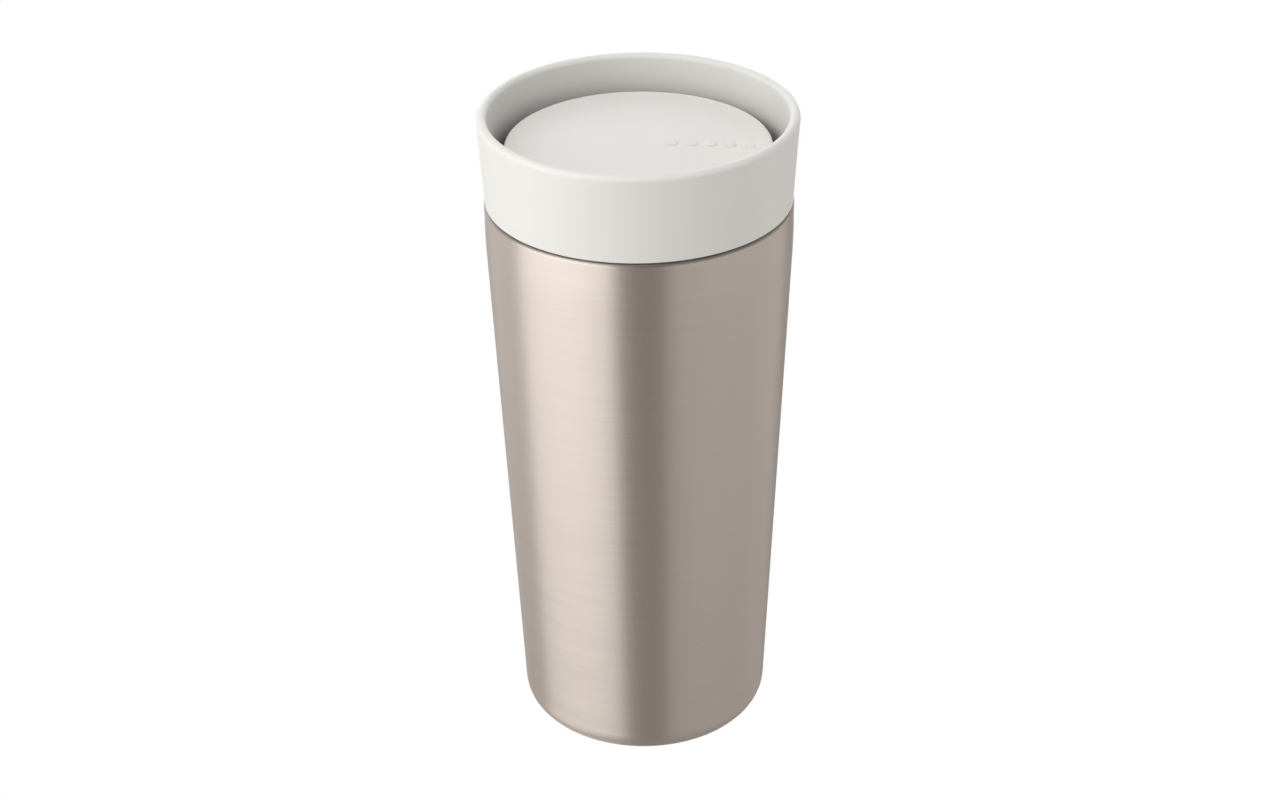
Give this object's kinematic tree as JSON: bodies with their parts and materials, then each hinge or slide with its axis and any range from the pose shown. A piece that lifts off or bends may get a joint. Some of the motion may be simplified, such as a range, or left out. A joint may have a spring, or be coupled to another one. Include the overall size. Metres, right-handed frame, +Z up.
{
  "type": "insulated travel mug",
  "caption": "Tapered vacuum-insulated steel travel mug with a screw-in lid, a flared drinking collar that pours all round, and a central push-push button that opens the ring valve.",
  "frame": {"origin": "centre of the foot's underside, on the surface the mug stands on", "axes": "+Z up along the mug's axis, X and Y level; the mug is round, so X only marks the first spoke"},
  "size_m": [0.0806, 0.0806, 0.175],
  "materials": {
    "brushed_shell_steel": "stainless steel brushed round the body, warm and satin",
    "satin_steel": "electropolished stainless steel, soft satin",
    "getter_metal": "dull grey sintered metal",
    "foot_silicone": "matt grey silicone",
    "seal_silicone": "translucent off-white silicone",
    "warm_grey_plastic": "fine-grained matt moulding, warm light grey",
    "lid_plastic": "satin moulding, mid grey",
    "latch_plastic": "satin natural acetal",
    "spring_steel": "drawn stainless steel"
  },
  "bodies": {
    "mug": {"outer_shell": "brushed_shell_steel", "inner_liner": "satin_steel", "outer_bottom": "satin_steel", "vacuum_seal_bead": "getter_metal", "getter_cup": "getter_metal", "getter_pellet": "getter_metal", "base_cover": "satin_steel", "foot_ring": "foot_silicone"},
    "gasket_ring": {"lid_gasket": "seal_silicone"},
    "lid": {"lid_body": "lid_plastic", "drinking_collar": "warm_grey_plastic", "collar_seal": "seal_silicone", "latch_housing": "latch_plastic", "housing_cap": "latch_plastic", "stem_seal": "seal_silicone", "housing_clip": "spring_steel", "return_spring": "spring_steel"},
    "button": {"push_plunger": "latch_plastic", "button_carrier": "lid_plastic", "button_cap": "warm_grey_plastic", "valve_stem": "spring_steel", "valve_plate": "lid_plastic", "valve_gasket": "seal_silicone", "valve_nut": "lid_plastic"},
    "rotor": {"latch_rotor": "latch_plastic"}
  },
  "joints": [
    {"name": "lid_rise", "type": "slide", "parent": "mug", "child": "gasket_ring", "axis": [0, 0, 1], "range_m": [0, 0.03]},
    {"name": "lid_twist", "type": "hinge", "parent": "gasket_ring", "child": "lid", "pos_m": [0, 0, 0.1515], "axis": [0, 0, 1], "range_deg": [0, 540]},
    {"name": "button_press", "type": "slide", "parent": "lid", "child": "button", "axis": [0, 0, -1], "range_m": [0, 0.006], "stiffness_N_per_m": 800, "springref_m": -0.004, "deforming": ["return_spring"]},
    {"name": "rotor_turn", "type": "hinge", "parent": "button", "child": "rotor", "pos_m": [0, 0, 0.1539], "axis": [0, 0, 1], "range_deg": [0, 60]}
  ],
  "couplings": [
    {"joint": "lid_rise", "follows": "lid_twist", "m_per_rad": 0.0031831},
    {"joint": "rotor_turn", "follows": "button_press", "rad_per_m": 174.53}
  ]
}
